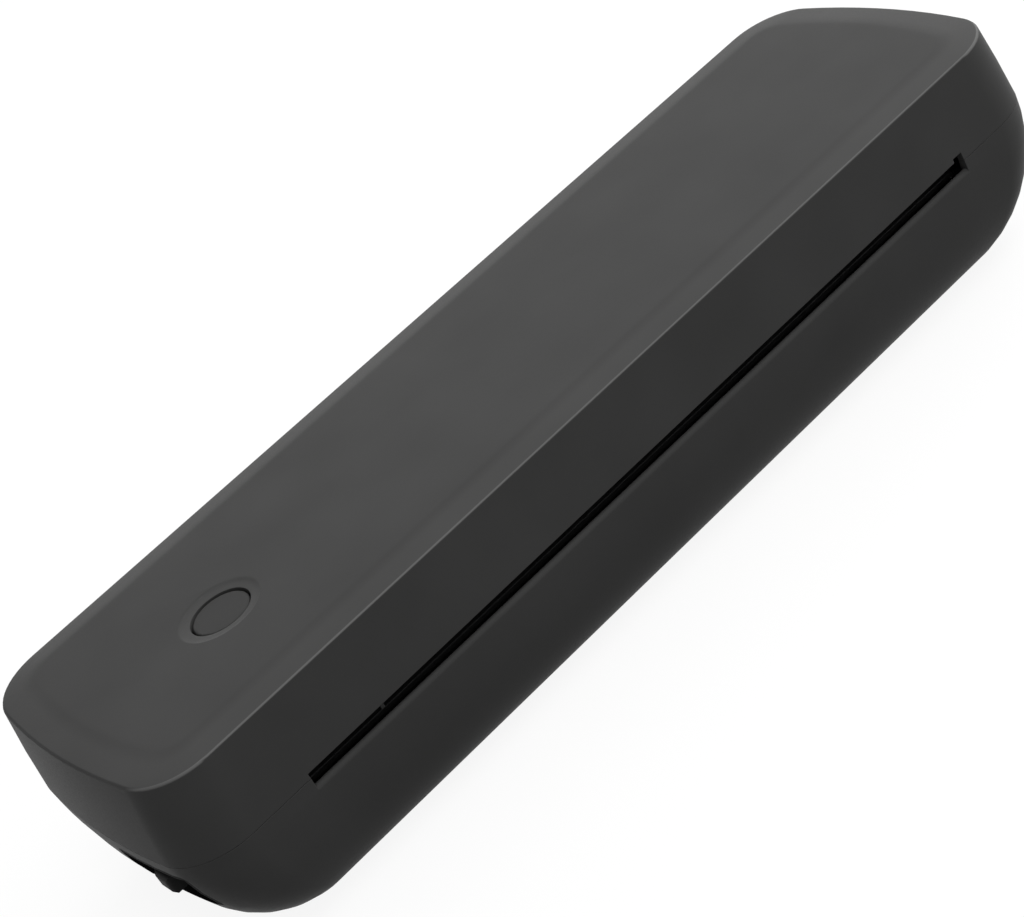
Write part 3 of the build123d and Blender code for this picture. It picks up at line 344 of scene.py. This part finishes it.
materials = {
    # the body's edges get the strongest painted highlight, and its top the painted rim and border
    # highlights
    "body_plastic": moulded_plastic("body_plastic", BODY_COLOUR, 0.45, 0.02, edge_highlight=2.3, crown=True),
    "button_plastic": moulded_plastic("button_plastic", shade(BODY_COLOUR, 0.88), 0.45, 0.02),
    "steel": metal("steel", (0.55, 0.55, 0.56)),
    "circuit_board": circuit_board("circuit_board"),
    "switch_plastic": moulded_plastic("switch_plastic", (0.02, 0.02, 0.02)),
    "inner_plastic": moulded_plastic("inner_plastic", (0.010, 0.010, 0.010), 0.6, 0.15),
    "bush_plastic": moulded_plastic("bush_plastic", (0.62, 0.60, 0.55), 0.4, 0.4, 0.4, edge_highlight=1.1),
    "platen_rubber": moulded_plastic("platen_rubber", (0.012, 0.012, 0.012), 0.7, 0.3, 0.8),
    "gear_plastic": moulded_plastic("gear_plastic", (0.68, 0.66, 0.60), 0.4, 0.4, 0.4, 0.0001, 1.1),
    "brass": metal("brass", (0.70, 0.50, 0.22), 0.3),
    "motor_can": metal("motor_can", (0.25, 0.25, 0.26), 0.4),
    "zinc_steel": metal("zinc_steel", (0.55, 0.56, 0.57), 0.4),
    "heat_sink": moulded_plastic("heat_sink", (0.006, 0.006, 0.0062), 0.45, 0.4, 0.5),
    "head_ceramic": moulded_plastic("head_ceramic", (0.42, 0.39, 0.32), 0.15, 0.6, 0.2, edge_highlight=1.1),
    "spring_steel": metal("spring_steel", (0.45, 0.45, 0.45), 0.3),
    "battery_wrap": moulded_plastic("battery_wrap", (0.03, 0.12, 0.32), 0.3, 0.5, 0.2),
    "chip_plastic": moulded_plastic("chip_plastic", (0.012, 0.012, 0.012), 0.5, 0.4),
    "panel_plastic": moulded_plastic("panel_plastic", PANEL_BLACK, 0.7, 0.05, edge_highlight=1.0),
    "knob_plastic": moulded_plastic("knob_plastic", (0.011, 0.011, 0.011), 0.65, 0.08, edge_highlight=1.6),
    "foot_rubber": moulded_plastic("foot_rubber", (0.015, 0.015, 0.015), 0.8, 0.3),
}
slots = {part["node"]: part["material_slot"] for part in frame["record"]["subparts"]}

# ---------------------------------------------------------------- smooth shading
SHARP_ANGLE = math.radians(52)
WELD_DISTANCE = 0.000002


def make_smoothing():
    """Node group that joins the tessellation's edges and shades all but sharp ones smoothly."""
    group = bpy.data.node_groups.new("smooth_by_angle", "GeometryNodeTree")
    group.interface.new_socket("Geometry", in_out="INPUT", socket_type="NodeSocketGeometry")
    group.interface.new_socket("Geometry", in_out="OUTPUT", socket_type="NodeSocketGeometry")
    start = group.nodes.new("NodeGroupInput")
    weld = group.nodes.new("GeometryNodeMergeByDistance")
    weld.inputs["Distance"].default_value = WELD_DISTANCE
    soften = group.nodes.new("GeometryNodeSetShadeSmooth")
    angle = group.nodes.new("GeometryNodeInputMeshEdgeAngle")
    compare = group.nodes.new("FunctionNodeCompare")
    compare.operation = "GREATER_THAN"
    compare.inputs[1].default_value = SHARP_ANGLE
    sharpen = group.nodes.new("GeometryNodeSetShadeSmooth")
    sharpen.domain = "EDGE"
    sharpen.inputs["Shade Smooth"].default_value = False
    end = group.nodes.new("NodeGroupOutput")
    group.links.new(start.outputs[0], weld.inputs["Geometry"])
    group.links.new(weld.outputs["Geometry"], soften.inputs["Geometry"])
    group.links.new(soften.outputs["Geometry"], sharpen.inputs["Geometry"])
    group.links.new(angle.outputs["Unsigned Angle"], compare.inputs[0])
    group.links.new(compare.outputs["Result"], sharpen.inputs["Selection"])
    group.links.new(sharpen.outputs["Geometry"], end.inputs[0])
    return group


smoothing = make_smoothing()


def smooth(piece):
    """Smooth shading that leaves flats flat and sharp edges sharp."""
    by_angle = piece.modifiers.new("smooth_by_angle", "NODES")
    by_angle.node_group = smoothing
    weighted = piece.modifiers.new("weighted_normals", "WEIGHTED_NORMAL")
    weighted.keep_sharp = True


def dress_nodes():
    """Every carried-over node gets its finished material and smooth shading."""
    for name, node in frame["nodes"].items():
        material = materials[slots[name]]
        if not node.material_slots:
            node.data.materials.append(material)
        for material_slot in node.material_slots:
            material_slot.material = material
        smooth(node)


dress_nodes()

# ---------------------------------------------------------------- small fasteners
SCREW_SEGMENTS = 48
SCREW_HEAD_RADIUS = 0.0023
SCREW_HEAD_HEIGHT = 0.0011
SCREW_DOME = 0.0004
RECESS_REACH = 0.0013
RECESS_HALF_WIDTH = 0.0003
RECESS_DEPTH = 0.0007
FOOT_INSET = 0.0034
FOOT_REACH = 0.014
FOOT_THICKNESS = 0.0012


def cross_radius(angle):
    """Outline of a cross recess, as a distance from the centre at each angle."""
    nearest = abs((angle + math.pi / 4) % (math.pi / 2) - math.pi / 4)
    side = RECESS_HALF_WIDTH / max(math.sin(nearest), 1e-6)
    return min(RECESS_REACH / math.cos(nearest), side)


def make_screw(name, place):
    """Pan head screw with a cross recess, its seat at the given place."""
    rings = [
        (lambda angle: SCREW_HEAD_RADIUS, 0.0),
        (lambda angle: SCREW_HEAD_RADIUS, SCREW_HEAD_HEIGHT - SCREW_DOME),
        (lambda angle: SCREW_HEAD_RADIUS * 0.86, SCREW_HEAD_HEIGHT - SCREW_DOME * 0.35),
        (lambda angle: RECESS_REACH * 1.12, SCREW_HEAD_HEIGHT),
        (cross_radius, SCREW_HEAD_HEIGHT),
        (lambda angle: cross_radius(angle) * 0.8, SCREW_HEAD_HEIGHT - RECESS_DEPTH),
    ]
    mesh = bmesh.new()
    loops = []
    for radius_at, height in rings:
        loop = []
        for step in range(SCREW_SEGMENTS):
            angle = 2 * math.pi * step / SCREW_SEGMENTS
            radius = radius_at(angle)
            across, along = radius * math.cos(angle), radius * math.sin(angle)
            loop.append(mesh.verts.new((place.x + across, place.y + along, place.z + height)))
        loops.append(loop)
    for lower, upper in zip(loops, loops[1:]):
        for step in range(SCREW_SEGMENTS):
            following = (step + 1) % SCREW_SEGMENTS
            mesh.faces.new((lower[step], lower[following], upper[following], upper[step]))
    mesh.faces.new(list(reversed(loops[0])))
    mesh.faces.new(loops[-1])
    data = bpy.data.meshes.new(name)
    mesh.to_mesh(data)
    mesh.free()
    screw = bpy.data.objects.new(name, data)
    bpy.context.scene.collection.objects.link(screw)
    data.materials.append(materials["zinc_steel"])
    smooth(screw)
    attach(screw, "base")


def make_chassis_screws():
    """One screw in the middle of each of the chassis's four feet."""
    low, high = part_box("chassis")
    for side, x in (("left", low[0] + FOOT_INSET), ("right", high[0] - FOOT_INSET)):
        for depth, y in (("front", -FOOT_REACH), ("back", FOOT_REACH)):
            make_screw(f"chassis_screw_{side}_{depth}", Vector((x, y, low[2] + FOOT_THICKNESS)))


make_chassis_screws()

# ---------------------------------------------------------------- floor, world and lamps
FLOOR_SIZE = 30.0
FLOOR_GREY = 0.35
FLOOR_GLOW = 0.9
WORLD_STRENGTH = 0.375
SUNS = (
    ("sun_back", (0.45, 1.0, 0.1), 30, 0.22),
    ("sun_top", (0.0, -0.45, 1.0), 30, 1.05),
    ("sun_right", (1.0, -0.5, 0.35), 40, 0.5),
)
SOFTBOX_PLACE = Vector((0.75, 0.1, 0.6))
SOFTBOX_SIZE = 0.8
SOFTBOX_POWER = 8.0


def is_seen(shader):
    """1 for camera, glossy and transmission rays, 0 for the rest."""
    rays = shader.node("ShaderNodeLightPath")
    kinds = ("Is Camera Ray", "Is Glossy Ray", "Is Transmission Ray")
    return shader.highest(*(rays.outputs[kind] for kind in kinds))


def make_floor():
    """Plain white floor that keeps the object's shadow."""
    mesh = bpy.data.meshes.new("floor")
    half = FLOOR_SIZE / 2
    corners = [(-half, -half, 0), (half, -half, 0), (half, half, 0), (-half, half, 0)]
    mesh.from_pydata(corners, [], [(0, 1, 2, 3)])
    floor = bpy.data.objects.new("floor", mesh)
    bpy.context.scene.collection.objects.link(floor)
    shader = Shader("floor_paper")
    shader.principled.inputs["Roughness"].default_value = 0.9
    shader.principled.inputs["Specular IOR Level"].default_value = 0.0
    seen = is_seen(shader)
    shader.link(
        shader.blend(seen, (FLOOR_GREY,) * 3, (1.0, 1.0, 1.0)),
        shader.principled.inputs["Base Color"],
    )
    glow = shader.node("ShaderNodeEmission")
    mix = shader.node("ShaderNodeMixShader")
    shader.link(shader.spread(seen, 0.0, FLOOR_GLOW, 0.0, 1.0), mix.inputs[0])
    shader.link(shader.principled.outputs[0], mix.inputs[1])
    shader.link(glow.outputs[0], mix.inputs[2])
    shader.link(mix.outputs[0], shader.tree.nodes["Material Output"].inputs["Surface"])
    mesh.materials.append(shader.material)


class WorldShader(Shader):
    """The world's own nodes, built with the same helpers."""

    def __init__(self, world):
        world.use_nodes = True
        self.tree = world.node_tree


def make_world():
    """Even pale surroundings, white where they are seen, so no band shows above the floor."""
    world = bpy.data.worlds.new("world")
    bpy.context.scene.world = world
    shader = WorldShader(world)
    background = shader.tree.nodes["Background"]
    background.inputs["Color"].default_value = (1.0, 1.0, 1.0, 1.0)
    strength = shader.spread(is_seen(shader), WORLD_STRENGTH, 1.0, 0.0, 1.0)
    shader.link(strength, background.inputs["Strength"])


def make_lamp(name, kind, place, power):
    """Lamp turned to the object, as an area or a sun."""
    data = bpy.data.lights.new(name, kind)
    data.energy = power
    lamp = bpy.data.objects.new(name, data)
    bpy.context.scene.collection.objects.link(lamp)
    lamp.location = place
    lamp.rotation_euler = place.to_track_quat("Z", "Y").to_euler()
    return data


def make_lamps():
    """Broad soft suns round the object, and a softbox nearer its right end."""
    for name, direction, spread, strength in SUNS:
        data = make_lamp(name, "SUN", Vector(direction), strength)
        data.angle = math.radians(spread)
    softbox = make_lamp("softbox", "AREA", SOFTBOX_PLACE, SOFTBOX_POWER)
    softbox.shape = "SQUARE"
    softbox.size = SOFTBOX_SIZE


make_floor()
make_world()
make_lamps()
bpy.context.scene.view_settings.view_transform = "Standard"
